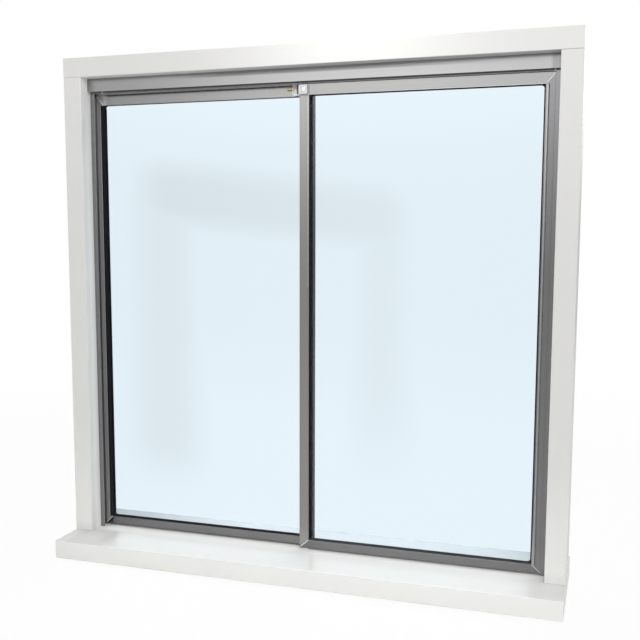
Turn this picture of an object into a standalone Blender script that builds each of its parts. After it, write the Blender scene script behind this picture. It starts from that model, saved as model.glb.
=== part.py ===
"""Sliding concession window: two aluminium sashes in a twin-track frame, inside a white board casing.

Units are metres and +Z is up. X runs to the right seen from the serving side and Y runs into the wall.
The origin lies on the underside of the sill board, at mid width, below the front face of the casing.
"""

import math

import bmesh
import bpy
from mathutils import Vector

# Casing boards
casingWidth = 1.000
casingHeight = 0.9665        # top of the sill to the top of the head board
boardThickness = 0.038
boardDepth = 0.089
sillThickness = 0.036
sillProjection = 0.076       # in front of the casing
sillTail = 0.070             # behind the casing boards
boardArris = 0.0012          # small rounding on the long edges of the boards
dripInset = 0.014            # front edge of the sill to the drip groove below it
dripWidth = 0.006
dripDepth = 0.005

# Gaps
seatGap = 0.0003             # between pieces that touch
mitreGap = 0.00025           # cut back at each mitred end, measured along the bar
runningGap = 0.0005          # between a sash and the guide legs beside it

# Outer aluminium frame
fasciaSetback = 0.025        # front face of the casing to the fascia
fasciaDrop = 0.0255          # soffit to the lower edge of the fascia
fasciaThickness = 0.0016
jambSetback = 0.035          # front face of the casing to the front guide
guideThickness = 0.0014
middleGuideThickness = 0.0011
webThickness = 0.0012
headWebThickness = 0.002
frontLipHeight = 0.0092
middleLipHeight = 0.0037
rearLipHeight = 0.0072
lipRadius = 0.0005
notchClearance = 0.0003      # jamb lips to the notched ends of the guide legs
ledgeReach = 0.0044          # shelf in each head channel that carries the rollers
ledgeThickness = 0.0014
ledgeDrop = 0.0145           # soffit to the rolling face of the shelf

# Sashes
sashOverlap = 0.0232         # how far the closed sashes overlap at the middle
sashDepth = 0.014
topRailFace = 0.0203         # face height of the top rails
bottomRailFace = 0.0165
wedgeStileFace = 0.0170      # face width of the outer stile that carries the black wedge
meetingFace = 0.019          # face width of the meeting stiles
beadStileFace = 0.0185       # face width of the outer stile that carries the bead
leftSashPocket = 0.002       # casing jamb to the outer edge of the closed left sash
rightSashPocket = 0.0075     # casing jamb to the outer edge of the closed right sash
bottomClearance = 0.002      # sill to the underside of the sashes
headOverlapGap = 0.0035      # top of the sashes to the lower edge of the fascia
sashLeg = 0.0016             # thickness of the legs beside the glazing pocket
pocketDepth = 0.008
grooveWidth = 0.0044         # guide groove along the outer edge of the sash bars
grooveDepth = 0.005
sashArris = 0.0006
stripWidth = 0.0064          # strip that closes the glazing pocket on the outer stiles
stripCrown = 0.0005
stripEdgeDrop = 0.0005       # edges of the strip below the face of the stile
stripShoulder = 0.0020       # width of the rounded shoulders of the strip
stripRadius = 0.0012

# Glazing
glassThickness = 0.005
gasketFloor = 0.0012
gasketProud = 0.0024         # gasket standing out past the inner edge of the bars
gasketLow = 0.0012           # the same on the left outer stile and the right top rail
gasketFlush = 0.0002         # the same on the top rail of the left sash
gasketLipRound = 0.43        # radius of the lips over their thickness
gasketCornerRadius = 0.0060  # rounding of the sight line at the corners of each pane
glassEdgeGap = 0.0003

# Seal between the meeting stiles
sealWidth = 0.0098
sealRadius = 0.0005

# Brush piles, hangers and rollers in the head
brushShare = 0.27            # width of the pile over the depth of the sash
brushHeight = 0.0082
brushInset = 0.0006          # rear face of the sash to the brush
brushTipRadius = 0.0009
hangerInset = 0.055          # sash edge to the middle of each hanger
hangerLength = 0.016
hangerThickness = 0.0016
hangerFootFront = 0.0021
hangerBrushGap = 0.0008      # foot of the hanger to the pile behind it
hangerBend = 0.0008
rollerRadius = 0.0045
rollerWidth = 0.0032
rollerChamfer = 0.0008
axleRadius = 0.0012
axleClearance = 0.0003
axleTopMargin = 0.0022       # axis of the roller to the top of the hanger

# Centre guide on the sill
guideLength = 0.0115
guideBaseThickness = 0.0013
guideFinWidth = 0.0034
guideFinHeight = 0.0036      # fin above the guide's base
guideFrontReach = 0.0022     # base in front of the front sash
guideRearReach = 0.0010
guideFinRadius = 0.0010

# Catch at the top of the meeting stiles
catchWidth = 0.0172
catchHeight = 0.0180
catchDrop = 0.0018           # top of the sash to the top of the case
catchThickness = 0.0060
catchRadius = 0.0016
catchEdgeRadius = 0.0009
catchPlateMargin = 0.0008
catchPlateThickness = 0.0010
catchPlateRadius = 0.0006
hookThickness = 0.0018
hookWidth = 0.0082
hookHeight = 0.0229
hookRise = 0.0040            # top of the sash to the top of the hook
hookHeel = 0.0034            # outer radius of the bend at the foot of the hook
hookToeReach = 0.0045        # toe past the upright part of the hook
hookToeHeight = 0.0026
hookTipRadius = 0.0009
hookFromSash = 0.0092        # edge of the right sash to the upright part of the hook
hookGuideGap = 0.0005        # hook to the guide leg behind it
pinRadius = 0.0014
pinReach = 0.0139            # end of the pin to the near edge of the hook
pinEngagement = 0.0030       # length of the pin held in the boss
pinDrop = 0.0112             # top of the hook to the axis of the pin
pinBossInset = 0.0036        # near edge of the hook to the boss
pinTip = 0.0005
pinBossRadius = 0.0024
pinClearance = 0.0003

# Places worked out from the sizes above
halfWidth = 0.5 * casingWidth
innerHalf = halfWidth - boardThickness
sillTop = sillThickness
casingTop = sillTop + casingHeight
soffit = casingTop - boardThickness
fasciaBottom = soffit - fasciaDrop
frontSashFace = jambSetback + guideThickness + runningGap
trackPitch = sashDepth + 2 * runningGap + middleGuideThickness
rearSashFace = frontSashFace + trackPitch
middleGuideFace = frontSashFace + sashDepth + runningGap
rearGuideFace = rearSashFace + sashDepth + runningGap
frameBack = rearGuideFace + guideThickness
sashBottom = sillTop + bottomClearance
sashTop = fasciaBottom - headOverlapGap
sashHeight = sashTop - sashBottom
brushWidth = brushShare * sashDepth
hangerFootRear = sashDepth - brushInset - brushWidth - hangerBrushGap - ledgeReach
sightBottom = sashBottom + bottomRailFace
sightHeight = sashHeight - bottomRailFace - topRailFace
leftSashEdge = -innerHalf + leftSashPocket
rightSashEdge = innerHalf - rightSashPocket
sashWidth = 0.5 * (rightSashEdge - leftSashEdge + sashOverlap)
guideCentre = 0.5 * (leftSashEdge + rightSashEdge)
legTip = sashTop + seatGap

sharpAngle = math.radians(32)
cornerSteps = 6              # facets of the rounded corners of the gaskets
barNames = {"bottom": "bottom_rail", "top": "top_rail", "outer": "outer_stile", "meeting": "meeting_stile"}

rightward = Vector((1, 0, 0))
leftward = Vector((-1, 0, 0))
inward = Vector((0, 1, 0))
upward = Vector((0, 0, 1))
downward = Vector((0, 0, -1))

# What each piece is made of: colour, roughness, metallic
finishes = {
    "whitePaint": ((0.80, 0.80, 0.78), 0.32, 0.0),
    "satinAluminium": ((0.42, 0.42, 0.44), 0.38, 1.0),
    "blackRubber": ((0.012, 0.012, 0.014), 0.55, 0.0),
    "darkPile": ((0.035, 0.035, 0.038), 0.95, 0.0),
    "clearGlass": ((0.80, 0.90, 0.94), 0.03, 0.0),
    "whiteNylon": ((0.82, 0.82, 0.80), 0.45, 0.0),
    "zincPlate": ((0.62, 0.62, 0.64), 0.30, 1.0),
    "brightCasting": ((0.78, 0.78, 0.80), 0.30, 0.6),
    "brass": ((0.78, 0.55, 0.18), 0.28, 1.0),
}


def clearScene():
    for item in list(bpy.data.objects):
        bpy.data.objects.remove(item, do_unlink=True)


def makeMaterial(name, finish):
    colour, roughness, metallic = finishes[finish]
    material = bpy.data.materials.new(name)
    material.use_nodes = True
    shader = material.node_tree.nodes["Principled BSDF"]
    shader.inputs["Base Color"].default_value = (*colour, 1.0)
    shader.inputs["Roughness"].default_value = roughness
    shader.inputs["Metallic"].default_value = metallic
    return material


def addPiece(name, bm, location, finish, smooth=True):
    """Turn a finished bmesh into a named object with a material of its own."""
    bmesh.ops.recalc_face_normals(bm, faces=bm.faces[:])
    if bm.calc_volume(signed=True) < 0:
        bmesh.ops.reverse_faces(bm, faces=bm.faces[:])
    mesh = bpy.data.meshes.new(name)
    bm.to_mesh(mesh)
    bm.free()
    mesh.materials.append(makeMaterial(name, finish))
    if smooth:
        mesh.shade_smooth()
        mesh.set_sharp_from_angle(angle=sharpAngle)
    piece = bpy.data.objects.new(name, mesh)
    piece.location = location
    bpy.context.collection.objects.link(piece)
    return piece


def arcPoints(before, corner, after, radius, steps):
    """Points of a fillet at one corner of a flat outline."""
    corner = Vector(corner)
    toBefore = (Vector(before) - corner).normalized()
    toAfter = (Vector(after) - corner).normalized()
    half = 0.5 * toBefore.angle(toAfter)
    tangent = radius / math.tan(half)
    centre = corner + (toBefore + toAfter).normalized() * (radius / math.sin(half))
    start = corner + toBefore * tangent - centre
    end = corner + toAfter * tangent - centre
    points = []
    for step in range(steps + 1):
        spoke = start.lerp(end, step / steps)
        points.append(tuple(centre + spoke.normalized() * radius))
    return points


def filletOutline(corners, steps=3):
    """Outline from (a, b) corners, with an arc at each corner that also gives a radius."""
    outline = []
    count = len(corners)
    for index, corner in enumerate(corners):
        if len(corner) == 2:
            outline.append(corner)
            continue
        before = corners[index - 1][:2]
        after = corners[(index + 1) % count][:2]
        outline.extend(arcPoints(before, corner[:2], after, corner[2], steps))
    return outline


def sweepBar(outline, along, across, deep, length, startMitre=0.0, endMitre=0.0, cut=0.0):
    """Extrude an outline of (across, deep) points along a bar that starts at the origin.

    A mitre is how far that end leans back for each metre across the bar, and cut shortens both ends.
    """
    bm = bmesh.new()
    ring = [bm.verts.new(across * a + deep * d + along * (startMitre * a + cut)) for a, d in outline]
    face = bm.faces.new(ring)
    swept = bmesh.ops.extrude_face_region(bm, geom=[face])
    for vert in [item for item in swept["geom"] if isinstance(item, bmesh.types.BMVert)]:
        a = vert.co.dot(across)
        vert.co += along * (length - (startMitre + endMitre) * a - 2 * cut)
    bmesh.ops.remove_doubles(bm, verts=bm.verts[:], dist=1e-6)
    return bm


def revolve(profile, axis, segments, closed=False):
    """Turn a (radius, height) profile about an axis through the origin.

    A closed profile makes a ring, and an open one starts and ends on the axis.
    """
    bm = bmesh.new()
    side = axis.orthogonal().normalized()
    ring = [bm.verts.new(side * r + axis * h) for r, h in profile]
    edges = [bm.edges.new(pair) for pair in zip(ring, ring[1:])]
    if closed:
        edges.append(bm.edges.new((ring[-1], ring[0])))
    bmesh.ops.spin(bm, geom=ring + edges, cent=(0, 0, 0), axis=axis, angle=math.tau, steps=segments,
                   use_merge=True, use_duplicate=False)
    bmesh.ops.remove_doubles(bm, verts=bm.verts[:], dist=1e-6)
    return bm


def combine(target, tool, operation):
    """Apply an exact Boolean to the target and remove the tool."""
    bpy.context.view_layer.update()
    modifier = target.modifiers.new(operation.lower(), "BOOLEAN")
    modifier.operation = operation
    modifier.solver = "EXACT"
    modifier.object = tool
    graph = bpy.context.evaluated_depsgraph_get()
    result = bpy.data.meshes.new_from_object(target.evaluated_get(graph))
    target.modifiers.remove(modifier)
    old = target.data
    target.data = result
    bpy.data.meshes.remove(old)
    result.name = target.name
    bpy.data.objects.remove(tool, do_unlink=True)


# Casing

def makeCasing():
    r = boardArris
    board = filletOutline([(0, 0, r), (boardThickness, 0, r), (boardThickness, boardDepth, r), (0, boardDepth, r)])
    addPiece("head_board", sweepBar(board, rightward, downward, inward, casingWidth),
             (-halfWidth, 0, casingTop), "whitePaint")
    jambLength = casingHeight - boardThickness - 2 * seatGap
    foot = sillTop + seatGap
    addPiece("left_jamb_board", sweepBar(board, upward, rightward, inward, jambLength),
             (-halfWidth, 0, foot), "whitePaint")
    addPiece("right_jamb_board", sweepBar(board, upward, leftward, inward, jambLength),
             (halfWidth, 0, foot), "whitePaint")


def makeSill():
    """Deep sill board with a drip groove below its front edge."""
    front = -sillProjection
    back = boardDepth + sillTail
    drip = front + dripInset
    r = boardArris
    outline = filletOutline([
        (0, front, r), (0, back, r), (sillThickness, back, r),
        (sillThickness, drip + dripWidth), (sillThickness - dripDepth, drip + dripWidth),
        (sillThickness - dripDepth, drip), (sillThickness, drip), (sillThickness, front, r)])
    addPiece("sill_board", sweepBar(outline, rightward, downward, inward, casingWidth),
             (-halfWidth, 0, sillTop), "whitePaint")


# Outer frame

def legCorners(face, thickness, tip):
    """Corners of one guide leg of the head section, as (drop, y) from the front round to the back."""
    return [(headWebThickness, face), (tip, face), (tip, face + thickness)]


def makeHeadTrack():
    """Twin roller channel, open below, with the deep fascia as its front leg."""
    fasciaTip = fasciaDrop - seatGap
    tip = soffit - seatGap - legTip
    ledgeTop = ledgeDrop - seatGap
    ledgeUnder = ledgeTop + ledgeThickness
    outline = [(0, fasciaSetback), (fasciaTip, fasciaSetback), (fasciaTip, fasciaSetback + fasciaThickness),
               (headWebThickness, fasciaSetback + fasciaThickness)]
    for face, thickness in ((jambSetback, guideThickness), (middleGuideFace, middleGuideThickness)):
        back = face + thickness
        outline.extend(legCorners(face, thickness, tip))
        outline.extend([(ledgeUnder, back), (ledgeUnder, back + ledgeReach), (ledgeTop, back + ledgeReach),
                        (ledgeTop, back), (headWebThickness, back)])
    outline.extend(legCorners(rearGuideFace, guideThickness, tip))
    outline.append((0, frameBack))
    length = 2 * (innerHalf - seatGap)
    track = addPiece("head_track", sweepBar(outline, rightward, downward, inward, length),
                     (seatGap - innerHalf, 0, soffit - seatGap), "satinAluminium", False)
    notchLegs(track)


def notchLegs(track):
    """Cut each guide leg short at both ends, where the lip of the jamb channel runs up in its place."""
    margin = 0.5 * runningGap
    height = fasciaBottom - legTip + margin
    for face, thickness, lipHeight in ((jambSetback, guideThickness, frontLipHeight),
                                       (middleGuideFace, middleGuideThickness, middleLipHeight),
                                       (rearGuideFace, guideThickness, rearLipHeight)):
        depth = thickness + 2 * margin
        block = [(0, 0), (height, 0), (height, depth), (0, depth)]
        notch = lipHeight + seatGap + notchClearance
        for x in (-innerHalf - margin, innerHalf - notch):
            cutter = sweepBar(block, rightward, upward, inward, notch + margin)
            tool = addPiece("notch", cutter, (x, face - margin, legTip - margin), "satinAluminium", False)
            combine(track, tool, "DIFFERENCE")


def makeFrameJamb(name, side):
    """Twin channel beside each casing jamb: three lips on a thin web."""
    r = lipRadius
    frontBack = jambSetback + guideThickness
    middleBack = middleGuideFace + middleGuideThickness
    outline = filletOutline([
        (0, jambSetback), (frontLipHeight, jambSetback, r), (frontLipHeight, frontBack, r),
        (webThickness, frontBack), (webThickness, middleGuideFace),
        (middleLipHeight, middleGuideFace), (middleLipHeight, middleBack),
        (webThickness, middleBack), (webThickness, rearGuideFace),
        (rearLipHeight, rearGuideFace, r), (rearLipHeight, frameBack, r), (0, frameBack)])
    foot = sillTop + seatGap
    length = fasciaBottom - seatGap - foot
    across = leftward if side > 0 else rightward
    addPiece(name, sweepBar(outline, upward, across, inward, length),
             (side * (innerHalf - seatGap), 0, foot), "satinAluminium")


def makeCentreGuide():
    """Low block on the sill whose two fins run in the grooves below the sashes."""
    baseTop = guideBaseThickness
    finTop = baseTop + guideFinHeight
    front = frontSashFace - guideFrontReach
    back = rearSashFace + sashDepth + guideRearReach
    corners = [(0, front), (baseTop, front)]
    for face in (frontSashFace, rearSashFace):
        near = face + 0.5 * (sashDepth - guideFinWidth)
        far = near + guideFinWidth
        corners.extend([(baseTop, near), (finTop, near, guideFinRadius), (finTop, far, guideFinRadius),
                        (baseTop, far)])
    corners.extend([(baseTop, back), (0, back)])
    addPiece("centre_guide", sweepBar(filletOutline(corners), rightward, upward, inward, guideLength),
             (guideCentre - 0.5 * guideLength, 0, sillTop + seatGap), "whiteNylon")


# Sash bars

def sashOutline(face):
    """Section of a sash bar: guide groove at the outer edge and glazing pocket at the inner edge."""
    pocketFloor = face - pocketDepth
    grooveNear = 0.5 * (sashDepth - grooveWidth)
    grooveFar = grooveNear + grooveWidth
    r = sashArris
    return filletOutline([
        (0, 0, r), (face, 0, r), (face, sashLeg), (pocketFloor, sashLeg),
        (pocketFloor, sashDepth - sashLeg), (face, sashDepth - sashLeg), (face, sashDepth, r), (0, sashDepth, r),
        (0, grooveFar), (grooveDepth, grooveFar), (grooveDepth, grooveNear), (0, grooveNear)])


def gasketOutline(face, reach):
    """Channel gasket: seated in the pocket, with a round lip on each side of the glass."""
    front = sashLeg + seatGap
    back = sashDepth - front
    floor = face - pocketDepth + seatGap
    slot = floor + gasketFloor
    near = 0.5 * (sashDepth - glassThickness) - glassEdgeGap
    far = sashDepth - near
    r = gasketLipRound * (near - front)
    return filletOutline([(floor, front), (reach, front, r), (reach, near, r), (slot, near),
                          (slot, far), (reach, far, r), (reach, back, r), (floor, back)])


def stripOutline(face):
    """Crowned strip that fills the front rebate of an outer stile."""
    near = face - stripWidth
    r = stripRadius
    return filletOutline([(near, stripEdgeDrop), (near + stripShoulder, -stripCrown, r),
                          (face - stripShoulder, -stripCrown, r), (face, stripEdgeDrop), (face, sashLeg),
                          (near, sashLeg)])


def sashMembers(left, outerIsLeft, outerFace):
    """Bars of a sash: (x, z) start, direction, inward direction, length, own face and neighbours."""
    keys = ("outer", "meeting") if outerIsLeft else ("meeting", "outer")
    faces = {"bottom": bottomRailFace, "top": topRailFace, "outer": outerFace, "meeting": meetingFace}
    right = left + sashWidth
    return {
        "bottom": ((left, sashBottom), rightward, upward, sashWidth, faces["bottom"], keys),
        "top": ((left, sashTop), rightward, downward, sashWidth, faces["top"], keys),
        keys[0]: ((left, sashBottom), upward, rightward, sashHeight, faces[keys[0]], ("bottom", "top")),
        keys[1]: ((right, sashBottom), upward, leftward, sashHeight, faces[keys[1]], ("bottom", "top")),
    }, faces


def makeSash(prefix, left, front, outerIsLeft, outerFace, stripName, stripFinish, prouds):
    members, faces = sashMembers(left, outerIsLeft, outerFace)
    for key, member in members.items():
        (x, z), along, across, length, face, ends = member
        mitres = [faces[end] / face for end in ends]
        bar = sweepBar(sashOutline(face), along, across, inward, length, mitres[0], mitres[1], mitreGap)
        stile = addPiece(f"{prefix}_{barNames[key]}", bar, (x, front, z), "satinAluminium")
        if key == "outer":
            cutRebate(stile, x, across, face, front)
        reaches = [faces[end] + prouds[end] for end in ends]
        gasket = gasketBar(member, mitres, face + prouds[key], reaches)
        addPiece(f"{prefix}_{key}_gasket", gasket, (x, front, z), "blackRubber")
    (x, z), along, across, length, face, ends = members["outer"]
    strip = sweepBar(stripOutline(face), upward, across, inward, sightHeight - 2 * seatGap)
    addPiece(f"{prefix}_{stripName}", strip, (x, front, sightBottom + seatGap), stripFinish)
    makeGlass(f"{prefix}_glass", left, front, outerIsLeft, outerFace)
    makeBrush(f"{prefix}_top_brush", left, front)
    places = [left + hangerInset, left + sashWidth - hangerInset]
    for key, x in zip(["outer", "meeting"] if outerIsLeft else ["meeting", "outer"], places):
        makeHanger(f"{prefix}_{key}", x, front)


def cutRebate(stile, x, across, face, front):
    """Open the front leg of the glazing pocket between the rails, where the strip goes in."""
    width = stripWidth + seatGap
    block = [(0, -sashLeg), (width + sashLeg, -sashLeg), (width + sashLeg, 1.01 * sashLeg), (0, 1.01 * sashLeg)]
    cutter = sweepBar(block, upward, across, inward, sightHeight)
    start = x + across.x * (face - width)
    combine(stile, addPiece("rebate", cutter, (start, front, sightBottom), "satinAluminium", False), "DIFFERENCE")


def gasketBar(member, mitres, reach, reaches):
    """Gasket along one side of a pane, its lips rounded into both corners and cut at the mitres."""
    (x, z), along, across, length, face, ends = member
    r = gasketCornerRadius
    turns = [math.radians(90) * step / cornerSteps for step in range(cornerSteps + 1)]
    stations = [(-r, r)]
    stations.extend((reaches[0] + r * (1 - math.sin(turn)), r * (1 - math.cos(turn))) for turn in reversed(turns))
    stations.extend((length - reaches[1] - r * (1 - math.sin(turn)), r * (1 - math.cos(turn))) for turn in turns)
    stations.append((length + r, r))
    bm = bmesh.new()
    loops = []
    for place, growth in stations:
        ring = [bm.verts.new(across * a + inward * d + along * place) for a, d in gasketOutline(face, reach + growth)]
        loops.append([bm.edges.new(pair) for pair in zip(ring, ring[1:] + ring[:1])])
    for first, second in zip(loops, loops[1:]):
        bmesh.ops.bridge_loops(bm, edges=first + second)
    for corner, side, mitre in ((0, -1, mitres[0]), (length, 1, mitres[1])):
        normal = (along * side + across * mitre).normalized()
        trimEnd(bm, along * (corner - side * mitreGap), normal)
    return bm


def trimEnd(bm, point, normal):
    """Cut a bar with a plane, drop what lies beyond it and close the end."""
    cut = bmesh.ops.bisect_plane(bm, geom=bm.verts[:] + bm.edges[:] + bm.faces[:], dist=1e-7, plane_co=point,
                                 plane_no=normal, clear_outer=True)
    rim = [item for item in cut["geom_cut"] if isinstance(item, bmesh.types.BMEdge)]
    bmesh.ops.contextual_create(bm, geom=rim)


def makeGlass(name, left, front, outerIsLeft, outerFace):
    """Pane held in the gaskets on all four sides."""
    hold = pocketDepth - seatGap - gasketFloor - glassEdgeGap
    leftFace = outerFace if outerIsLeft else meetingFace
    width = sashWidth - outerFace - meetingFace + 2 * hold
    height = sightHeight + 2 * hold
    outline = [(0, 0), (width, 0), (width, glassThickness), (0, glassThickness)]
    corner = (left + leftFace - hold, front + 0.5 * (sashDepth - glassThickness), sightBottom - hold)
    addPiece(name, sweepBar(outline, upward, rightward, inward, height), corner, "clearGlass", False)


def makeInterlockSeal():
    """Black seal on the rear meeting stile that closes the gap between the overlapping sashes."""
    front = frontSashFace + sashDepth + seatGap
    depth = rearSashFace - seatGap - front
    r = sealRadius
    outline = filletOutline([(0, 0, r), (sealWidth, 0, r), (sealWidth, depth), (0, depth)])
    addPiece("left_sash_interlock_seal", sweepBar(outline, upward, leftward, inward, sashHeight - 2 * mitreGap),
             (leftSashEdge + sashWidth - sashArris, front, sashBottom + mitreGap), "blackRubber")


def makeBrush(name, left, front):
    """Weather pile along the rear land of the top rail."""
    r = brushTipRadius
    outline = filletOutline([(0, 0), (brushHeight, 0, r), (brushHeight, brushWidth, r), (0, brushWidth)])
    length = sashWidth - 2 * sashArris
    addPiece(name, sweepBar(outline, rightward, upward, inward, length),
             (left + sashArris, front + sashDepth - brushInset - brushWidth, sashTop + seatGap), "darkPile")


def makeHanger(prefix, x, front):
    """Bent hanger plate on the top rail, with its axle, and the roller that it hangs from."""
    channel = front - runningGap
    plateFace = channel + ledgeReach + runningGap
    foot = sashTop + seatGap
    axleHeight = soffit - ledgeDrop + seatGap + rollerRadius
    plateHeight = axleHeight + axleTopMargin - foot
    t = hangerThickness
    outline = filletOutline([
        (0, -hangerFootFront), (0, hangerFootRear), (t, hangerFootRear), (t, t, hangerBend),
        (plateHeight, t), (plateHeight, 0), (t, 0, hangerBend), (t, -hangerFootFront)])
    plate = addPiece(f"{prefix}_hanger", sweepBar(outline, rightward, upward, inward, hangerLength),
                     (x - 0.5 * hangerLength, plateFace, foot), "zincPlate")
    axleStart = channel + seatGap
    axleLength = plateFace + 0.5 * t - axleStart
    shaft = [(0, 0), (axleRadius, 0), (axleRadius, axleLength), (0, axleLength)]
    axle = addPiece("axle", revolve(shaft, inward, 20), (x, axleStart, axleHeight), "zincPlate")
    combine(plate, axle, "UNION")
    bore = axleRadius + axleClearance
    c = rollerChamfer
    profile = [(bore, 0), (rollerRadius - c, 0), (rollerRadius, c), (rollerRadius, rollerWidth - c),
               (rollerRadius - c, rollerWidth), (bore, rollerWidth)]
    addPiece(f"{prefix}_roller", revolve(profile, inward, 28, closed=True), (x, axleStart, axleHeight), "whiteNylon")


# Catch

def sweepPlate(corners, thickness, steps=3):
    """Extrude an outline of (x, z) corners into the wall."""
    return sweepBar(filletOutline(corners, steps), inward, rightward, upward, thickness)


def makeCatchBody():
    """Case with softened front edges on a thin plate, at the top of the front meeting stile."""
    location = (rightSashEdge - sashWidth, frontSashFace - seatGap - catchPlateThickness,
                sashTop - catchDrop - catchHeight)
    r = catchPlateRadius
    wide = catchWidth + catchPlateMargin
    low = -catchPlateMargin
    plate = addPiece("catch_body", sweepPlate([(0, low, r), (wide, low, r), (wide, catchHeight, r),
                                               (0, catchHeight, r)], catchPlateThickness),
                     location, "brightCasting")
    r = catchRadius
    case = sweepPlate([(0, 0, r), (catchWidth, 0, r), (catchWidth, catchHeight, r), (0, catchHeight, r)],
                      catchThickness + 0.5 * catchPlateThickness, 4)
    frontEdges = [edge for edge in case.edges if all(abs(vert.co.y) < 1e-6 for vert in edge.verts)]
    bmesh.ops.bevel(case, geom=frontEdges, offset=catchEdgeRadius, offset_type="OFFSET", affect="EDGES",
                    segments=2, profile=0.5, material=-1)
    caseLocation = (location[0], location[1] - catchThickness, location[2])
    combine(plate, addPiece("case", case, caseLocation, "brightCasting"), "UNION")


def makeCatchHook():
    """Upright hook on the left sash, with a pad behind it and a boss that holds the brass pin."""
    left = rightSashEdge - sashWidth - hookFromSash - hookWidth
    back = middleGuideFace - hookGuideGap
    front = back - hookThickness
    bottom = sashTop + hookRise - hookHeight
    pinHeight = sashTop + hookRise - pinDrop
    pinY = front - pinRadius
    tip = hookTipRadius
    toe = hookWidth + hookToeReach
    hook = addPiece("catch_hook", sweepPlate([
        (0, hookHeight, tip), (0, 0, hookHeel), (toe, 0, tip), (toe, hookToeHeight, tip),
        (hookWidth, hookToeHeight, tip), (hookWidth, hookHeight, tip)], hookThickness, 5),
        (left, front, bottom), "brightCasting")
    sunk = 0.5 * hookThickness
    padHeight = hookHeight - hookRise - hookHeel
    pad = sweepPlate([(0, 0), (hookWidth, 0), (hookWidth, padHeight), (0, padHeight)],
                     rearSashFace - seatGap - back + sunk)
    combine(hook, addPiece("pad", pad, (left, back - sunk, bottom + hookHeel), "brightCasting"), "UNION")
    half = pinBossRadius
    bossLeft = left + pinBossInset
    boss = sweepBar(filletOutline([(-half, sunk), (half, sunk), (half, -pinRadius - half, half),
                                   (-half, -pinRadius - half, half)], 6), rightward, upward, inward,
                    hookWidth - pinBossInset)
    combine(hook, addPiece("boss", boss, (bossLeft, front, pinHeight), "brightCasting"), "UNION")
    bore = pinRadius + pinClearance
    reach = pinEngagement + pinClearance
    drill = revolve([(0, -half), (bore, -half), (bore, reach), (0, reach)], rightward, 24)
    combine(hook, addPiece("drill", drill, (bossLeft, pinY, pinHeight), "brightCasting"), "DIFFERENCE")
    length = pinReach + pinBossInset + pinEngagement
    pin = revolve([(0, 0), (pinRadius - pinTip, 0), (pinRadius, pinTip), (pinRadius, length - pinTip),
                   (pinRadius - pinTip, length), (0, length)], rightward, 24)
    addPiece("catch_pin", pin, (left - pinReach, pinY, pinHeight), "brass")


clearScene()
makeCasing()
makeSill()
makeHeadTrack()
makeFrameJamb("left_frame_jamb", -1)
makeFrameJamb("right_frame_jamb", 1)
makeCentreGuide()
makeSash("left_sash", leftSashEdge, rearSashFace, True, wedgeStileFace, "glazing_wedge", "blackRubber",
         {"top": gasketFlush, "bottom": gasketProud, "outer": gasketLow, "meeting": gasketProud})
makeSash("right_sash", rightSashEdge - sashWidth, frontSashFace, False, beadStileFace, "glazing_bead",
         "satinAluminium", {"top": gasketLow, "bottom": gasketProud, "outer": gasketProud, "meeting": gasketProud})
makeInterlockSeal()
makeCatchBody()
makeCatchHook()
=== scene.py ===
import math

import bmesh
import bpy
from mathutils import Matrix, Vector


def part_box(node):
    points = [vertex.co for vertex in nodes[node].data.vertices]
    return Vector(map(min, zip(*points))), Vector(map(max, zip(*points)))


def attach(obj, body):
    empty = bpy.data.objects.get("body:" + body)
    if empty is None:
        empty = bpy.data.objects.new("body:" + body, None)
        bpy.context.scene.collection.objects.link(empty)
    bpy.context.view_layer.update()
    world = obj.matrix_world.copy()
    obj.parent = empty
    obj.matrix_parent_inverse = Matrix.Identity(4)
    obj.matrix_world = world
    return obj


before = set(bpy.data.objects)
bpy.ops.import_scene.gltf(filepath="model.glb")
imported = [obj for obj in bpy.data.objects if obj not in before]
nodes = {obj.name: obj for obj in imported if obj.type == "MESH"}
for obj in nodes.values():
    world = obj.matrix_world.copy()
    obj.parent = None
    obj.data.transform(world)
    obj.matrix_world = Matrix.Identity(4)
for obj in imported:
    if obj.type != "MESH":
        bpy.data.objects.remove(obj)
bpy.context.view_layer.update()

print("window frame loaded:", len(nodes), "pieces")


# Shader maths

class Wire:
    # one node socket, with the operators that the materials use
    def __init__(self, tree, socket):
        self.tree = tree
        self.socket = socket

    def __add__(self, other):
        return self.tree.math("ADD", self, other)

    def __radd__(self, other):
        return self.tree.math("ADD", other, self)

    def __sub__(self, other):
        return self.tree.math("SUBTRACT", self, other)

    def __rsub__(self, other):
        return self.tree.math("SUBTRACT", other, self)

    def __mul__(self, other):
        return self.tree.math("MULTIPLY", self, other)

    def __rmul__(self, other):
        return self.tree.math("MULTIPLY", other, self)

    def __truediv__(self, other):
        return self.tree.math("DIVIDE", self, other)

    def __rtruediv__(self, other):
        return self.tree.math("DIVIDE", other, self)

    def clamped(self):
        return self.tree.node("ShaderNodeClamp", inputs={"Value": self})


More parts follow.
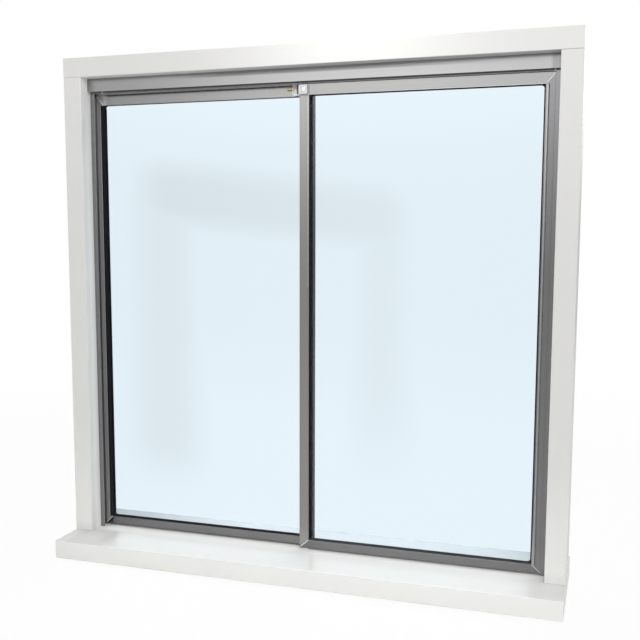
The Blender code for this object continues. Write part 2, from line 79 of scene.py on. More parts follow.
class Tree:
    # a node tree, with one method that makes any node
    def __init__(self, tree):
        self.tree = tree
        tree.nodes.clear()

    def node(self, kind, settings=None, inputs=None, output=0):
        # output is the number or name of one output, or a tuple of names
        made = self.tree.nodes.new(kind)
        for key, value in (settings or {}).items():
            setattr(made, key, value)
        for key, value in (inputs or {}).items():
            if isinstance(value, Wire):
                self.tree.links.new(value.socket, made.inputs[key])
            else:
                made.inputs[key].default_value = value
        if isinstance(output, tuple):
            return [Wire(self, made.outputs[name]) for name in output]
        return Wire(self, made.outputs[output])

    def math(self, operation, first, second):
        return self.node("ShaderNodeMath", {"operation": operation}, {0: first, 1: second})

    def axes(self, kind="Object"):
        # coordinates as x, y and z, where those of an object are in metres
        whole = self.node("ShaderNodeTexCoord", output=kind)
        return self.node("ShaderNodeSeparateXYZ", inputs={0: whole}, output=("X", "Y", "Z"))

    def pattern(self, scale=(1, 1, 1), shift=(0, 0, 0)):
        # object coordinates, stretched for grain that runs along one axis
        whole = self.node("ShaderNodeTexCoord", output="Object")
        return self.node("ShaderNodeMapping",
                         inputs={"Vector": whole, "Scale": scale, "Location": shift})

    def noise(self, vector, scale=1.0, detail=3.0, roughness=0.5):
        return self.node("ShaderNodeTexNoise", inputs={"Vector": vector, "Scale": scale,
                                                       "Detail": detail, "Roughness": roughness})

    def blend(self, factor, low, high):
        # sockets 0, 6 and 7 are the factor and the two colours, and output 2 is the mixed colour
        return self.node("ShaderNodeMix", {"data_type": "RGBA"}, {0: factor, 6: low, 7: high}, 2)

    def bump(self, height):
        # the height is in metres
        return self.node("ShaderNodeBump",
                         inputs={"Height": height, "Distance": 1.0, "Strength": 1.0})

    def finish(self, shader, kind="ShaderNodeOutputMaterial"):
        self.node(kind, inputs={"Surface": shader}, output=())


def newMaterial(name):
    material = bpy.data.materials.new(name)
    material.use_nodes = True
    return material, Tree(material.node_tree)


def rgb(colour, level=1.0):
    return (colour[0] * level, colour[1] * level, colour[2] * level, 1.0)


def stretch(axis, along, across):
    # scale that is slow along one axis and quick across the other two
    return tuple(along if name == axis else across for name in "xyz")


def softLimits(t, value, limits):
    # from 0 at the first number to 1 at the second, and where there are four, back to 0 at the last
    start, full, *falling = limits
    mask = t.node("ShaderNodeMapRange", {"interpolation_type": "SMOOTHSTEP"},
                  {"Value": value, "From Min": start, "From Max": full})
    return mask * (1.0 - softLimits(t, value, falling)) if falling else mask


def zoneMask(t, zone):
    # soft limits along each axis that the zone names
    places = dict(zip("xyz", t.axes()))
    masks = [softLimits(t, places[axis], zone[axis]) for axis in "xyz" if axis in zone]
    return math.prod(masks[1:], start=masks[0])


def mottled(t, tone, colour, shade, level=1.0):
    # a colour that wanders between its darkest tone and its own
    return t.blend(tone, rgb(colour, shade * level), rgb(colour, level))


def addPaintedLight(t, paintedLightZones, colour, tone, base, shade):
    # each zone of painted light and shade lies over those before it, in one plain colour or in a
    # tone of the base colour
    for zone in paintedLightZones:
        if "colour" in zone:
            over = rgb(zone["colour"])
        else:
            over = mottled(t, tone, base, shade, zone["tone"])
        colour = t.blend(zoneMask(t, zone), colour, over)
    return colour


# Materials

sillTop = (0.0350, 0.0358)     # two heights, so that only the top of the sill differs
# painted shade at the foot of each jamb
jambFootShade = {"z": (0.060, 0.040), "tone": 0.90}

casingPaint = {
    "colour": (0.81, 0.805, 0.785),
    "shade": 0.965,            # darkest tone of the paint against its base colour
    "roughness": 0.22,
    "roughnessSpread": 0.07,
    "grainRoughness": 0.03,
    "grainShare": 0.3,         # of the grain in the tone, against the clouds
    "grainAcross": 260.0,      # wood grain that telegraphs through the paint, per metre
    "grainAlong": 9.0,
    "grainHeight": 0.00003,
    "cloudAcross": 6.0,
    "cloudAlong": 1.4,
    "stippleScale": 1100.0,
    "stippleHeight": 0.000012,
    "ior": 1.5,
    "gloss": {"sill_board": 0.07},             # taken off the roughness of a board
    "paintedLightTones": {"right_jamb_board": 0.965},      # whole boards with painted shade
    "paintedLightZones": {                 # painted light and shade: soft limits along the axes, and tone or colour
        "sill_board": (        # painted light between the jambs, painted reflection of the left jamb beside it, painted shade behind the sashes and painted light before them
            {"x": (-0.43, -0.36, 0.40, 0.46), "z": sillTop, "tone": 1.09},
            {"x": (-0.488, -0.472, -0.412, -0.380), "z": sillTop, "tone": 0.87},
            {"y": (0.050, 0.064), "z": sillTop, "tone": 0.64},
            {"y": (0.006, 0.030, 0.0500, 0.0505), "z": sillTop, "tone": 1.17},
        ),
        "left_jamb_board": (   # painted shade at the foot, and painted light on the inner face deep in and towards its top
            jambFootShade,
            {"x": (-0.4630, -0.4625), "y": (0.010, 0.021), "colour": (0.89, 0.885, 0.865)},
            {"x": (-0.4630, -0.4625), "z": (0.86, 0.945), "colour": (0.975, 0.970, 0.950)},
        ),
        "right_jamb_board": (jambFootShade,),
        "head_board": (        # underside, with painted light on the left and painted shade on the right
            {"z": (0.9652, 0.9646), "colour": (0.93, 0.925, 0.91)},
            {"x": (-0.35, 0.22), "z": (0.9652, 0.9646), "colour": (0.575, 0.560, 0.580)},
        ),
    },
}


def makeCasingPaint(board, axis, shift):
    v = casingPaint
    material, t = newMaterial(board + "_paint")
    grain = t.noise(t.pattern(stretch(axis, v["grainAlong"], v["grainAcross"]), shift),
                    detail=4.0, roughness=0.6)
    cloud = t.noise(t.pattern(stretch(axis, v["cloudAlong"], v["cloudAcross"]), shift), detail=2.0)
    stipple = t.noise(t.pattern(shift=shift), v["stippleScale"], detail=2.0)
    tone = (cloud * (1 - v["grainShare"]) + grain * v["grainShare"]).clamped()
    colour = mottled(t, tone, v["colour"], v["shade"], v["paintedLightTones"].get(board, 1.0))
    roughness = v["roughness"] - 0.5 * v["roughnessSpread"] - v["gloss"].get(board, 0.0)
    t.finish(t.node("ShaderNodeBsdfPrincipled", inputs={
        "Base Color": addPaintedLight(t, v["paintedLightZones"][board], colour, tone, v["colour"], v["shade"]),
        "Roughness": cloud * v["roughnessSpread"] + roughness + grain * v["grainRoughness"],
        "Normal": t.bump(grain * v["grainHeight"] + stipple * v["stippleHeight"]),
        "IOR": v["ior"],
    }))
    return material


leftFront = (0.0500, 0.0505, 0.0534, 0.0540)   # depths round the front faces of the left sash
rightFront = (0.0330, 0.0340, 0.0373, 0.0380)  # and of the right sash

aluminium = {
    "colour": (0.284, 0.281, 0.287),
    "tints": {                 # bars whose grey is warmer
        "right_sash_meeting_stile": (0.284, 0.279, 0.268),
        "left_sash_top_rail": (0.282, 0.279, 0.277),
        "right_sash_top_rail": (0.279, 0.277, 0.275),
        "head_track": (0.285, 0.282, 0.283),
    },
    "paintedLightTones": {                 # whole bars with painted light: the bead lighter as a painted highlight, the frame jamb darker as painted shade
        "right_sash_glazing_bead": 1.35,
        "right_frame_jamb": 0.78,
    },
    "shade": 0.92,             # darkest tone of the metal against its base colour
    "roughness": 0.24,
    "roughnessSpread": 0.10,
    "lineAcross": 2400.0,      # die lines that run along the extrusion, per metre
    "lineAlong": 5.0,
    "lineHeight": 0.000004,
    "streakAcross": 300.0,
    "streakAlong": 3.0,
    "streakShare": 0.6,        # of the streaks in the tone, against the clouds
    "cloudScale": 30.0,
    "paintedLightZones": {                 # painted light and shade as on the boards, with the metallic share where it is less
        "head_track": (        # painted light and shade: fascia lighter as a painted reflection, front guide leg darker and middle guide leg lighter against the shade under the fascia, painted shadow of the head board as a band on the fascia, painted shade at the right end
            {"y": (0.0230, 0.0235, 0.0256, 0.0262), "tone": 1.10},
            {"y": (0.030, 0.033, 0.042, 0.046), "tone": 0.80, "metal": 0.45},
            {"y": (0.046, 0.050, 0.054, 0.058), "tone": 1.9, "metal": 0.0},
            {"x": (-0.30, -0.15, 0.06, 0.46), "z": (0.9535, 0.9570, 0.9605, 0.9635),
             "colour": (0.1653, 0.16356, 0.16414)},
            {"x": (0.4430, 0.4500), "colour": (0.228, 0.2256, 0.2264)},
        ),
        # painted light on the front of the left outer stile, which lies in shade
        "left_sash_outer_stile": ({"y": leftFront, "tone": 1.25, "metal": 0.25},),
        # painted shade on the meeting stile seen through the right pane
        "left_sash_meeting_stile": (
            {"y": (0.0500, 0.0505, 0.0600, 0.0630), "tone": 0.10, "metal": 0.5},
        ),
        "left_sash_top_rail": (        # painted light on its left end only, which lies in shade
            {"x": (-0.4320, -0.4420), "y": leftFront, "tone": 2.2, "metal": 0.2},
        ),
        # painted shade on the fronts of the bottom rails and of the right outer stile
        "left_sash_bottom_rail": ({"y": leftFront, "tone": 0.62},),
        "right_sash_bottom_rail": ({"y": rightFront, "tone": 0.62},),
        "right_sash_outer_stile": ({"y": rightFront, "tone": 0.75},),
    },
}


def makeAluminium(bar, axis, shift):
    v = aluminium
    material, t = newMaterial(bar + "_aluminium")
    lines = t.noise(t.pattern(stretch(axis, v["lineAlong"], v["lineAcross"]), shift),
                    roughness=0.65)
    streaks = t.noise(t.pattern(stretch(axis, v["streakAlong"], v["streakAcross"]), shift),
                      detail=2.0)
    cloud = t.noise(t.pattern(shift=shift), v["cloudScale"])
    tone = (streaks * v["streakShare"] + cloud * (1 - v["streakShare"])).clamped()
    grey = v["tints"].get(bar, v["colour"])
    paintedLightZones = v["paintedLightZones"].get(bar, ())
    colour = mottled(t, tone, grey, v["shade"], v["paintedLightTones"].get(bar, 1.0))
    metallic = 1.0
    for zone in paintedLightZones:
        if "metal" in zone:
            metallic = metallic - zoneMask(t, zone) * (1.0 - zone["metal"])
    t.finish(t.node("ShaderNodeBsdfPrincipled", inputs={
        "Base Color": addPaintedLight(t, paintedLightZones, colour, tone, grey, v["shade"]),
        "Metallic": metallic,
        "Roughness": lines * v["roughnessSpread"] + (v["roughness"] - 0.5 * v["roughnessSpread"]),
        "Normal": t.bump(lines * v["lineHeight"]),
    }))
    return material


rubber = {
    "colour": (0.010, 0.010, 0.012),
    "bloom": (0.022, 0.022, 0.025),
    "paintedHighlightBloom": {                 # lighter bloom on one gasket, a painted highlight along the top edge of its bottom rail
        "right_sash_bottom_gasket": (0.085, 0.085, 0.090),
    },
    "roughness": 0.46,
    "roughnessSpread": 0.2,
    "sheen": 0.03,             # specular level
    "bloomAcross": 400.0,
    "bloomAlong": 20.0,
    "grainScale": 1500.0,
    "grainHeight": 0.00001,
}


def makeRubber(strip, axis, shift):
    v = rubber
    material, t = newMaterial(strip + "_rubber")
    # bloom on the rubber, and on one gasket a painted highlight
    dustAndHighlight = t.noise(t.pattern(stretch(axis, v["bloomAlong"], v["bloomAcross"]), shift), detail=4.0)
    grain = t.noise(t.pattern(shift=shift), v["grainScale"], detail=2.0)
    t.finish(t.node("ShaderNodeBsdfPrincipled", inputs={
        "Base Color": t.blend(dustAndHighlight, rgb(v["colour"]), rgb(v["paintedHighlightBloom"].get(strip, v["bloom"]))),
        "Roughness": dustAndHighlight * v["roughnessSpread"] + v["roughness"],
        "Specular IOR Level": v["sheen"],
        "Normal": t.bump(grain * v["grainHeight"]),
    }))
    return material


paneGlass = {
    "colour": (0.800, 0.897, 0.966),
    "cloudColour": (0.794, 0.891, 0.962),
    "cloudScale": 3.0,
    "roughness": 0.0,
    "ior": 1.5,
    "rippleScale": (6.0, 6.0, 1.2),
    "rippleHeight": 0.0000015,
    "glare": 0.30,             # share of the plain mirror image that a clean pane keeps
    "shadowTint": (0.97, 0.96, 0.94),
}


def makeGlass(pane, shift):
    v = paneGlass
    material, t = newMaterial(pane + "_clear")
    cloud = t.noise(t.pattern(shift=shift), v["cloudScale"], detail=2.0)
    ripple = t.noise(t.pattern(v["rippleScale"], shift), detail=1.0)
    glass = t.node("ShaderNodeBsdfPrincipled", inputs={
        "Base Color": t.blend(cloud, rgb(v["cloudColour"]), rgb(v["colour"])),
        "Roughness": v["roughness"],
        "IOR": v["ior"],
        "Transmission Weight": 1.0,
        "Specular Tint": rgb((1.0, 1.0, 1.0), v["glare"]),
        "Normal": t.bump(ripple * v["rippleHeight"]),
    })
    clear = t.node("ShaderNodeBsdfTransparent", inputs={"Color": rgb(v["shadowTint"])})
    shadowRay = t.node("ShaderNodeLightPath", output="Is Shadow Ray")
    t.finish(t.node("ShaderNodeMixShader", inputs={0: shadowRay, 1: glass, 2: clear}))
    return material


plainParts = {                 # the grain is per metre, and the height is in metres
    "whiteNylon": {"colour": (0.80, 0.80, 0.78), "shade": 0.93, "roughness": 0.38, "metallic": 0.0,
                   "grain": 700.0, "height": 0.000015},
    "zincPlate": {"colour": (0.66, 0.66, 0.67), "shade": 0.80, "roughness": 0.30, "metallic": 1.0,
                  "grain": 420.0, "height": 0.000006},
    "brightCasting": {"colour": (0.66, 0.66, 0.67), "shade": 0.62, "roughness": 0.30,
                      "metallic": 0.55, "grain": 900.0, "height": 0.00020},
    # a pale casting, made paler than the catch body as painted light against the shade under the
    # fascia
    "hookCasting": {"colour": (0.96, 0.96, 0.97), "shade": 0.82, "roughness": 0.32, "metallic": 0.0,
                    "grain": 900.0, "height": 0.00012},
    # painted highlight along edges
    "paintedEdgeHighlight": {"colour": (0.60, 0.59, 0.60), "shade": 0.80, "roughness": 0.36, "metallic": 0.6,
                 "grain": 900.0, "height": 0.00002},
    # bright raw aluminium, near-white and little metallic so that it also serves as painted
    # highlights in the shade
    "rawAluminiumAndHighlight": {"colour": (0.94, 0.94, 0.95), "shade": 0.90, "roughness": 0.40,
                     "metallic": 0.15, "grain": 1400.0, "height": 0.00002},
    "brass": {"colour": (0.83, 0.60, 0.18), "shade": 0.80, "roughness": 0.24, "metallic": 1.0,
              "grain": 900.0, "height": 0.000006},
    # lighter than the black pile, as painted light in the shaded band under the fascia
    "darkPile": {"colour": (0.10, 0.10, 0.105), "shade": 0.4, "roughness": 0.9, "metallic": 0.0,
                 "grain": 2600.0, "height": 0.0003},
}
plainCloud = {"scale": 90.0, "share": 0.5, "roughnessSpread": 0.12}


def makePlainPart(name, finishName):
    v = plainParts[finishName]
    material, t = newMaterial(name)
    grain = t.noise(t.pattern(), v["grain"], roughness=0.6)
    cloud = t.noise(t.pattern(), plainCloud["scale"], detail=2.0)
    tone = (grain * (1 - plainCloud["share"]) + cloud * plainCloud["share"]).clamped()
    spread = plainCloud["roughnessSpread"]
    t.finish(t.node("ShaderNodeBsdfPrincipled", inputs={
        "Base Color": mottled(t, tone, v["colour"], v["shade"]),
        "Metallic": v["metallic"],
        "Roughness": grain * spread + (v["roughness"] - 0.5 * spread),
        "Normal": t.bump(grain * v["height"]),
    }))
    return material


dressing = {                   # words in a piece's name that say how it is dressed
    "upright": ("jamb", "stile", "outer_gasket", "meeting_gasket", "wedge", "bead", "seal"),
    "bars": ("track", "frame_jamb", "rail", "stile", "bead"),
    "strips": ("gasket", "wedge", "seal"),
    "plain": (                 # word, last word of the material's name, and finish
        ("roller", "nylon", "whiteNylon"), ("guide", "nylon", "whiteNylon"),
        ("hanger", "zinc", "zincPlate"), ("brush", "pile", "darkPile"),
        ("hook", "casting", "hookCasting"), ("body", "casting", "brightCasting"),
        ("pin", "brass", "brass"),
    ),
    "shift": (0.37, 0.61, 0.23),       # from piece to piece, so that no two show the same grain
}


def dressedMaterial(name, shift):
    v = dressing
    axis = "z" if any(word in name for word in v["upright"]) else "x"
    if name.endswith("_board"):
        return makeCasingPaint(name, axis, shift)
    if any(word in name for word in v["bars"]):
        return makeAluminium(name, axis, shift)
    if any(word in name for word in v["strips"]):
        return makeRubber(name, axis, shift)
    if "glass" in name:
        return makeGlass(name, shift)
    ending, finishName = next(row[1:] for row in v["plain"] if row[0] in name)
    return makePlainPart(f"{name}_{ending}", finishName)


for index, name in enumerate(sorted(nodes)):
    materials = nodes[name].data.materials
    materials.clear()
    materials.append(dressedMaterial(name, tuple(step * index for step in dressing["shift"])))
print("materials on every piece")


# Small pieces

smallPiece = {
    "seat": 0.00002,           # off the face below
    "sharpAngle": 50.0,        # degrees between faces that meet in a crisp edge
    "bevelSegments": 3,
    "nearby": 0.000001,        # places that are nearer than this count as one
}


def newObject(name, bm, material):
    mesh = bpy.data.meshes.new(name)
    bm.to_mesh(mesh)
    bm.free()
    mesh.materials.append(material)
    made = bpy.data.objects.new(name, mesh)
    bpy.context.scene.collection.objects.link(made)
    return made


def finishPiece(name, bm, material):
    bmesh.ops.recalc_face_normals(bm, faces=bm.faces[:])
    piece = newObject(name, bm, material)
    piece.data.shade_smooth()
    piece.data.set_sharp_from_angle(angle=math.radians(smallPiece["sharpAngle"]))
    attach(piece, "root")


def frontEdges(bm):
    # edges round the face that looks at the customer
    return list(min(bm.faces, key=lambda face: face.calc_center_median().y).edges)


def newBlock(width, proud, height, roundness):
    # block that stands on the plane y = 0 with rounded front edges
    bm = bmesh.new()
    bmesh.ops.create_cube(bm, size=1.0)
    bmesh.ops.scale(bm, vec=(width, proud, height), verts=bm.verts[:])
    bmesh.ops.translate(bm, vec=(0, -0.5 * proud, 0), verts=bm.verts[:])
    bmesh.ops.bevel(bm, geom=frontEdges(bm), offset=roundness, affect="EDGES",
                    segments=smallPiece["bevelSegments"], profile=0.5, material=-1)
    return bm


ridge = {
    "seamWidth": 0.0010,       # raw cut edges of a mitre, as one bright line that is also a painted highlight
    "seamProud": 0.00035,
    "seamEnds": (0.10, 0.97),  # where a seam starts and stops between its outer and inner corner
    "edgeWidth": 0.0007,       # painted highlight along an edge, as a thin bright line
    "edgeProud": 0.00024,
    "edgeInset": 0.0001,
    "cornerReach": 0.0050,     # length of the painted highlight at the corner above the right pane
    "cornerThick": 2.0,        # and its width against the other highlight lines
    "hookGap": 2.0,            # free ends of the edges of the hook, against their width
    "hookToe": 1.5,            # and the free end at its toe, against the others
    "meetingInset": 0.0022,    # painted highlight line down the meeting stile, from its right edge
    "meetingReach": 0.36,      # and how far down it goes
    "sightWidth": 0.0018,      # black line on the left pane beside its outer gasket
    "sightProud": 0.0004,
    "sightInset": 0.0030,
    "round": 0.85,             # rounding of the front edges as a share of the height
}


def makeRidge(name, start, end, width, proud, material, slot="sash_aluminium"):
    # low bar with rounded front edges between two places on a front face
    bm = newBlock(width, proud, (end - start).length, ridge["round"] * proud)
    turn = Vector((0, 0, 1)).rotation_difference((end - start).normalized())
    bmesh.ops.rotate(bm, cent=(0, 0, 0), matrix=turn.to_matrix(), verts=bm.verts[:])
    bmesh.ops.translate(bm, vec=(start + end) / 2, verts=bm.verts[:])
    finishPiece(name, bm, material)


def makeEdge(name, front, start, end, material, slot="sash_aluminium", thick=1.0):
    # painted highlight along an edge, between two places that are given by x and z
    v = ridge
    ends = [Vector((x, front - smallPiece["seat"], z)) for x, z in (start, end)]
    makeRidge(name, *ends, v["edgeWidth"] * thick, v["edgeProud"], material, slot)


def makeSightLine():
    # thin black line on the left pane, beside its outer gasket
    v = ridge
    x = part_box("left_sash_outer_gasket")[1][0] + 0.5 * v["sightWidth"]
    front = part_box("left_sash_glass")[0][1] - smallPiece["seat"]
    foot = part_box("left_sash_bottom_gasket")[1][2] + v["sightInset"]
    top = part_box("left_sash_top_gasket")[0][2] - v["sightInset"]
    makeRidge("left_sash_sight_line", Vector((x, front, foot)), Vector((x, front, top)),
              v["sightWidth"], v["sightProud"], makeRubber("sight_line", "z", (0, 0, 0)),
              "glazing_rubber")


def makeSeams():
    # sash, rail and stile, side of the corner, and width against the plain seam
    v = ridge
    material = makePlainPart("mitre_seams", "rawAluminiumAndHighlight")
    corners = [
        ("left_sash", "top", "outer", -1, 1.7), ("right_sash", "top", "outer", 1, 1.3),
        ("left_sash", "bottom", "outer", -1, 0.9), ("right_sash", "bottom", "outer", 1, 0.9),
        ("right_sash", "bottom", "meeting", -1, 1.1),
    ]
    for sash, rail, stile, side, weight in corners:
        railLow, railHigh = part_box(f"{sash}_{rail}_rail")
        stileLow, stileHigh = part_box(f"{sash}_{stile}_stile")
        outerX, innerX = (stileLow[0], stileHigh[0]) if side < 0 else (stileHigh[0], stileLow[0])
        outerZ, innerZ = (railHigh[2], railLow[2]) if rail == "top" else (railLow[2], railHigh[2])
        front = railLow[1] - smallPiece["seat"]
        outer, inner = Vector((outerX, front, outerZ)), Vector((innerX, front, innerZ))
        start, end = (outer.lerp(inner, share) for share in v["seamEnds"])
        makeRidge(f"{sash}_{rail}_{stile}_seam", start, end, v["seamWidth"] * weight,
                  v["seamProud"], material)


def makeEdgeLines():
    # painted highlights along the inner edge of the left stile, the foot of the right top rail, and
    # the meeting stile with its corner
    v = ridge
    material = makePlainPart("edge_lines", "paintedEdgeHighlight")
    inset = 0.5 * v["edgeWidth"] + v["edgeInset"]
    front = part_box("left_sash_outer_stile")[0][1]
    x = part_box("left_sash_glazing_wedge")[0][0] - inset
    bottom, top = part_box("left_sash_bottom_rail")[1][2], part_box("left_sash_top_rail")[0][2]
    makeEdge("left_sash_edge_line", front, (x, bottom), (x, top), material)

    _, front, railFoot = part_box("right_sash_top_rail")[0]
    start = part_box("right_sash_meeting_stile")[1][0]
    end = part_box("right_sash_outer_stile")[0][0]
    z = railFoot + inset
    makeEdge("right_sash_edge_line", front, (start, z), (end, z), material)

    x = start - v["meetingInset"]
    bottom, top = railFoot - v["meetingReach"], railFoot - v["meetingInset"]
    makeEdge("meeting_edge_line", front, (x, bottom), (x, top), material)
    material = makePlainPart("meeting_corner_metal", "rawAluminiumAndHighlight")
    makeEdge("meeting_corner_line", front, (start - v["cornerReach"], z),
             (start - v["edgeInset"], z), material, thick=v["cornerThick"])


def makeHookEdges():
    # painted highlights down the left edge of the catch hook and along its foot
    v = ridge
    material = makePlainPart("hook_edges", "rawAluminiumAndHighlight")
    low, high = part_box("catch_hook")
    inset = 0.5 * v["edgeWidth"] + v["edgeInset"]
    left, foot, gap = low[0] + inset, low[2] + inset, v["hookGap"] * v["edgeWidth"]
    makeEdge("hook_side_line", low[1], (left, foot + gap), (left, high[2] - gap),
             material, "catch_casting")
    makeEdge("hook_foot_line", low[1], (left + gap, foot), (high[0] - v["hookToe"] * gap, foot),
             material, "catch_casting")


screw = {
    "radius": 0.0018,
    "height": 0.0009,
    "rim": 0.98,               # height at the edge of the socket, as a share of the whole
    "recess": 0.0005,
    "recessRadius": 0.0008,
    "recessFloor": 0.8,        # radius of the socket's floor as a share of its mouth
    "roundSteps": 6,
    "segments": 24,
    "rise": 0.0020,            # tip of the guide leg to the axis of the screw
    "leftInset": 0.0280,       # end of the head track to the screw, on the left and on the right
    "rightInset": 0.0102,
}


def makeScrew(name, place, material):
    # pan head with a round socket, turned about the axis that runs into the wall
    v = screw
    floor = v["recess"] - v["height"]
    profile = [(0.0, floor), (v["recessRadius"] * v["recessFloor"], floor),
               (v["recessRadius"], -v["height"] * v["rim"])]
    for step in range(v["roundSteps"] + 1):
        angle = math.radians(90) * step / v["roundSteps"]
        profile.append((v["recessRadius"] + (v["radius"] - v["recessRadius"]) * math.sin(angle),
                        -v["height"] * math.cos(angle)))
    profile.append((0.0, 0.0))
    bm = bmesh.new()
    outline = [bm.verts.new((across, depth, 0.0)) for across, depth in profile]
    edges = [bm.edges.new(pair) for pair in zip(outline, outline[1:])]
    bmesh.ops.spin(bm, geom=outline + edges, cent=(0, 0, 0), axis=(0, 1, 0), angle=math.tau,
                   steps=v["segments"], use_merge=True, use_duplicate=False)
    bmesh.ops.remove_doubles(bm, verts=bm.verts[:], dist=smallPiece["nearby"])
    bmesh.ops.translate(bm, vec=place, verts=bm.verts[:])
    finishPiece(name, bm, material)


def makeScrews():
    v = screw
    material = makePlainPart("leg_screws", "rawAluminiumAndHighlight")
    low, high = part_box("head_track")
    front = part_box("left_frame_jamb")[0][1] - smallPiece["seat"]
    for name, x in (("left", low[0] + v["leftInset"]), ("right", high[0] - v["rightInset"])):
        makeScrew(f"{name}_leg_screw", Vector((x, front, low[2] + v["rise"])), material)


slide = {
    "width": 0.0058,
    "height": 0.0074,
    "proud": 0.0009,
    "rim": 0.0006,
    "ribs": 4,
    "ribProud": 0.0003,
    "across": 0.60,            # place of its middle on the case, as shares of width and height
    "up": 0.52,
}


def makeSlide():
    # low thumb slide on the front of the catch case, with ribs across it
    v = slide
    near = smallPiece["nearby"]
    low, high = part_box("catch_body")
    bm = newBlock(v["width"], v["proud"], v["height"], v["rim"])
    upright = [edge for edge in frontEdges(bm)
               if abs(edge.verts[0].co.x - edge.verts[1].co.x) < near]
    bmesh.ops.subdivide_edges(bm, edges=upright, cuts=2 * v["ribs"], use_grid_fill=True)
    bm.normal_update()
    front = min(vert.co.y for vert in bm.verts)
    strips = [face for face in bm.faces if all(vert.co.y < front + near for vert in face.verts)]
    strips.sort(key=lambda face: face.calc_center_median().z)
    ribs = bmesh.ops.extrude_discrete_faces(bm, faces=strips[1::2])["faces"]
    ribVerts = list({vert for face in ribs for vert in face.verts})
    bmesh.ops.translate(bm, vec=(0, -v["ribProud"], 0), verts=ribVerts)
    place = (low[0] + v["across"] * (high[0] - low[0]), low[1] - smallPiece["seat"],
             low[2] + v["up"] * (high[2] - low[2]))
    bmesh.ops.translate(bm, vec=place, verts=bm.verts[:])
    material = makePlainPart("catch_slide_metal", "rawAluminiumAndHighlight")
    finishPiece("catch_slide", bm, material)


makeSeams()
makeSightLine()
makeEdgeLines()
makeHookEdges()
makeScrews()
makeSlide()
print("small pieces made")


# Camera

cameraSet = {
    "place": (0.5559, -1.6128, 0.6534),
    "yaw": 17.7638,            # degrees to the left of straight on
    "pitch": 6.5973,           # degrees down
    "roll": 0.1645,
    "sensor": 36.0,
    "lens": 51.015,
    "shiftY": 0.0321,
    "clipStart": 0.05,
}


def makeCamera():
    v = cameraSet
    data = bpy.data.cameras.new("window_camera")
    data.sensor_width = v["sensor"]
    data.lens = v["lens"]
    data.shift_y = v["shiftY"]
    data.clip_start = v["clipStart"]
    camera = bpy.data.objects.new("window_camera", data)
    yaw, pitch, roll = (math.radians(v[key]) for key in ("yaw", "pitch", "roll"))
    look = Vector((-math.sin(yaw) * math.cos(pitch), math.cos(yaw) * math.cos(pitch),
                   -math.sin(pitch)))
    side = Vector((math.cos(yaw), math.sin(yaw), 0.0))
    top = side.cross(look)
    right = side * math.cos(roll) + top * math.sin(roll)
    up = top * math.cos(roll) - side * math.sin(roll)
    turn = Matrix((right, up, -look)).transposed()
    camera.matrix_world = Matrix.Translation(v["place"]) @ turn.to_4x4()
    bpy.context.scene.collection.objects.link(camera)
    bpy.context.scene.camera = camera


makeCamera()


# Studio

studio = {
    "floorColour": (0.86, 0.86, 0.86),
    "floorGlow": 0.93,         # share that stays plain white to the camera beside the object
    "floorFade": (1.2, 2.8),   # distances between which it becomes all white
    "floorReach": 12.0,
    "floorDrop": 0.0005,       # below the sill board, so that the two don't share a plane
    "worldDiffuse": 0.56,
    "glossyFloor": 1.08,       # tone that the metal sees below the horizon, at it, and above
    "glossyLevel": 0.72,
    "glossyHigh": 2.8,
    "glossyDip": (-0.16, -0.08),       # from the first tone to the second, as sines of the height
    "glossyRise": (0.0, 0.20),         # and from the second to the third
    "glossyLeft": (0.33, 0.52),        # fall-off towards the left, as the sine of the angle
    "glossyLeftLoss": 0.70,
    "glossyRight": (0.20, 0.02),       # and towards the right, as the same sine
    "glossyRightLoss": 0.32,
}


def rayShare(t, *names):
    # share of the named kinds of ray, between 0 and 1
    first, *others = t.node("ShaderNodeLightPath", output=names)
    return sum(others, first).clamped()


def makeStageSheet(name, halfWidth, halfDepth, place, material):
    # flat sheet that isn't part of the object
    bm = bmesh.new()
    bmesh.ops.create_grid(bm, x_segments=1, y_segments=1, size=1.0)
    bmesh.ops.scale(bm, vec=(halfWidth, halfDepth, 1.0), verts=bm.verts[:])
    bmesh.ops.transform(bm, matrix=place, verts=bm.verts[:])
    newObject(name, bm, material)


def makeFloor():
    v = studio
    material, t = newMaterial("studio_floor_paper")
    matte = t.node("ShaderNodeBsdfDiffuse", inputs={"Color": rgb(v["floorColour"])})
    glow = t.node("ShaderNodeEmission", inputs={"Color": rgb((1, 1, 1)), "Strength": 1.0})
    whole = t.node("ShaderNodeTexCoord", output="Object")
    away = t.node("ShaderNodeVectorMath", {"operation": "LENGTH"}, {0: whole}, output="Value")
    near, far = v["floorFade"]
    whiteness = ((away - near) / (far - near)).clamped() * (1 - v["floorGlow"]) + v["floorGlow"]
    share = rayShare(t, "Is Camera Ray", "Is Transmission Ray") * whiteness
    paper = t.node("ShaderNodeMixShader", inputs={0: share, 1: matte, 2: glow})
    clear = t.node("ShaderNodeBsdfTransparent")
    glossy = rayShare(t, "Is Glossy Ray")
    t.finish(t.node("ShaderNodeMixShader", inputs={0: glossy, 1: paper, 2: clear}))
    place = Matrix.Translation((0, 0, -v["floorDrop"]))
    makeStageSheet("studio_floor", v["floorReach"], v["floorReach"], place, material)


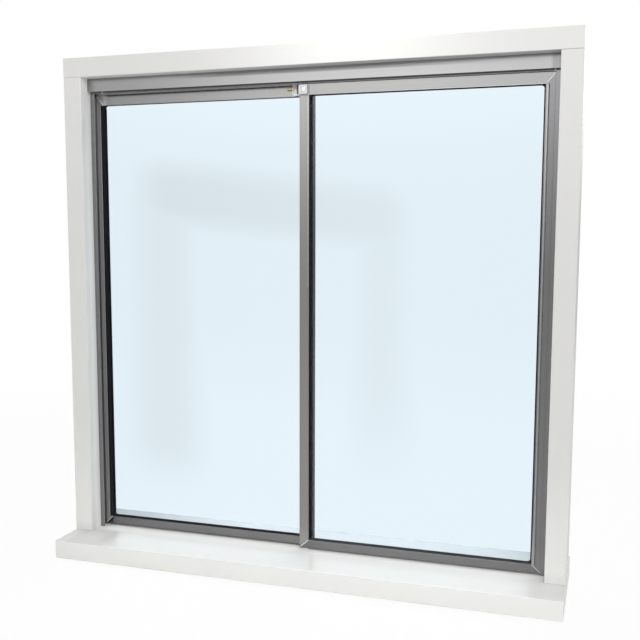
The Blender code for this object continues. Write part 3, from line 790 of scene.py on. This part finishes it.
def makeWorld():
    v = studio
    world = bpy.data.worlds.new("studio_world")
    bpy.context.scene.world = world
    world.use_nodes = True
    t = Tree(world.node_tree)
    right, _, up = t.axes("Generated")
    left = right * -1.0
    sheen = softLimits(t, up, v["glossyDip"]) * (v["glossyLevel"] - v["glossyFloor"])
    sheen = sheen + v["glossyFloor"]
    sheen = sheen + softLimits(t, up, v["glossyRise"]) * (v["glossyHigh"] - v["glossyLevel"])
    sheen = sheen * (1.0 - softLimits(t, left, v["glossyLeft"]) * v["glossyLeftLoss"])
    sheen = sheen * (1.0 - softLimits(t, left, v["glossyRight"]) * v["glossyRightLoss"])
    plain = rayShare(t, "Is Glossy Ray") * (sheen - v["worldDiffuse"]) + v["worldDiffuse"]
    strength = rayShare(t, "Is Camera Ray", "Is Transmission Ray") * (1.0 - plain) + plain
    back = t.node("ShaderNodeBackground", inputs={"Color": rgb((1, 1, 1)), "Strength": strength})
    t.finish(back, "ShaderNodeOutputWorld")


# sheet behind the panes that carries a painted reflection
shade = {
    "left": -0.8,              # reach of the sheet that carries the shape
    "right": 0.6,
    "foot": 0.001,
    "top": 1.2,
    "depth": 0.30,             # behind the front of the casing
    "tone": (0.855, 0.862, 0.840),     # darkest tone, at the left of the bar
    "bar": (-0.247, 0.730, -0.115),    # x and z of a place on the bar's middle line, and its slope
    "barUpper": (0.120, 0.015),        # soft edges as distances from the middle line
    "barLower": (0.120, 0.020),
    "barEnds": (-0.58, -0.42, 0.07, 0.20),
    "barFade": (-0.40, 0.10),          # between these places the bar gets fainter
    "barRight": 0.74,          # depth at the right end of the bar against the left
    "leftLeg": (-0.60, -0.44, -0.425, -0.300),
    "leftTop": (0.86, 0.73),
    "leftFoot": (0.03, 0.18),
    "leftDepth": 0.72,
    "rightLeg": (-0.03, 0.075, 0.085, 0.205),
    "rightTop": (0.74, 0.66),
    "rightFoot": (0.05, 0.36),
    "rightDepth": 0.52,
    "broadShade": (0.20, 0.47, 0.78, 1.00),
    "broadShadeDepth": 0.22,
}


def makeShade():
    # painted reflection: a soft grey shape, like a doorway, that shows only through the panes
    v = shade
    material, t = newMaterial("studio_backdrop_painted_reflection")
    x, _, z = t.axes()
    barX, barZ, slope = v["bar"]
    above = z - ((x - barX) * slope + barZ)
    mask = softLimits(t, above, v["barUpper"]) * softLimits(t, above * -1.0, v["barLower"])
    mask = mask * softLimits(t, x, v["barEnds"])
    mask = mask * (1.0 - softLimits(t, x, v["barFade"]) * (1 - v["barRight"]))
    for side in ("left", "right"):
        leg = softLimits(t, x, v[side + "Leg"]) * softLimits(t, z, v[side + "Top"]) \
            * softLimits(t, z, v[side + "Foot"])
        mask = t.math("MAXIMUM", mask, leg * v[side + "Depth"])
    mask = t.math("MAXIMUM", mask, softLimits(t, z, v["broadShade"]) * v["broadShadeDepth"])
    through = rayShare(t, "Is Transmission Ray")
    t.finish(t.node("ShaderNodeBsdfTransparent", inputs={
        "Color": t.blend(mask * through, rgb((1, 1, 1)), rgb(v["tone"]))}))
    middle = ((v["left"] + v["right"]) / 2, v["depth"], (v["foot"] + v["top"]) / 2)
    place = Matrix.Translation(middle) @ Matrix.Rotation(math.radians(90), 4, "X")
    halfWidth, halfHeight = (v["right"] - v["left"]) / 2, (v["top"] - v["foot"]) / 2
    makeStageSheet("studio_backdrop_shade", halfWidth, halfHeight, place, material)


lamps = {
    "key": {"place": (1.1, -2.4, 2.4), "aim": (0.0, 0.0, 0.55), "size": (1.2, 1.0),
            "power": 33.0, "spread": 180.0},
    "fill": {"place": (-2.4, -2.0, 1.6), "aim": (0.0, 0.0, 0.5), "size": (1.2, 1.2),
             "power": 2.6, "spread": 180.0},
    "head": {"place": (0.10, -0.34, 1.22), "aim": (0.10, 0.0, 0.985), "size": (0.30, 0.05),
             "power": 0.10, "spread": 66.0},
    "low": {"place": (0.3, -1.4, 0.12), "aim": (0.1, -0.076, 0.01), "size": (1.4, 0.12),
            "power": 0.20, "spread": 20.0},
    "back": {"place": (0.0, 1.6, 2.7), "aim": (0.0, 0.0, 0.2), "size": (1.2, 1.0),
             "power": 22.0, "spread": 180.0},
}


def makeLamps():
    for name, v in lamps.items():
        data = bpy.data.lights.new("studio_" + name, "AREA")
        data.shape = "RECTANGLE"
        data.size, data.size_y = v["size"]
        data.energy = v["power"]
        data.spread = math.radians(v["spread"])
        lamp = bpy.data.objects.new("studio_" + name, data)
        lamp.location = v["place"]
        look = Vector(v["aim"]) - Vector(v["place"])
        lamp.rotation_euler = look.to_track_quat("-Z", "Y").to_euler()
        bpy.context.scene.collection.objects.link(lamp)


makeFloor()
makeShade()
makeWorld()
makeLamps()
bpy.context.scene.view_settings.view_transform = "Standard"
print("camera and studio ready")
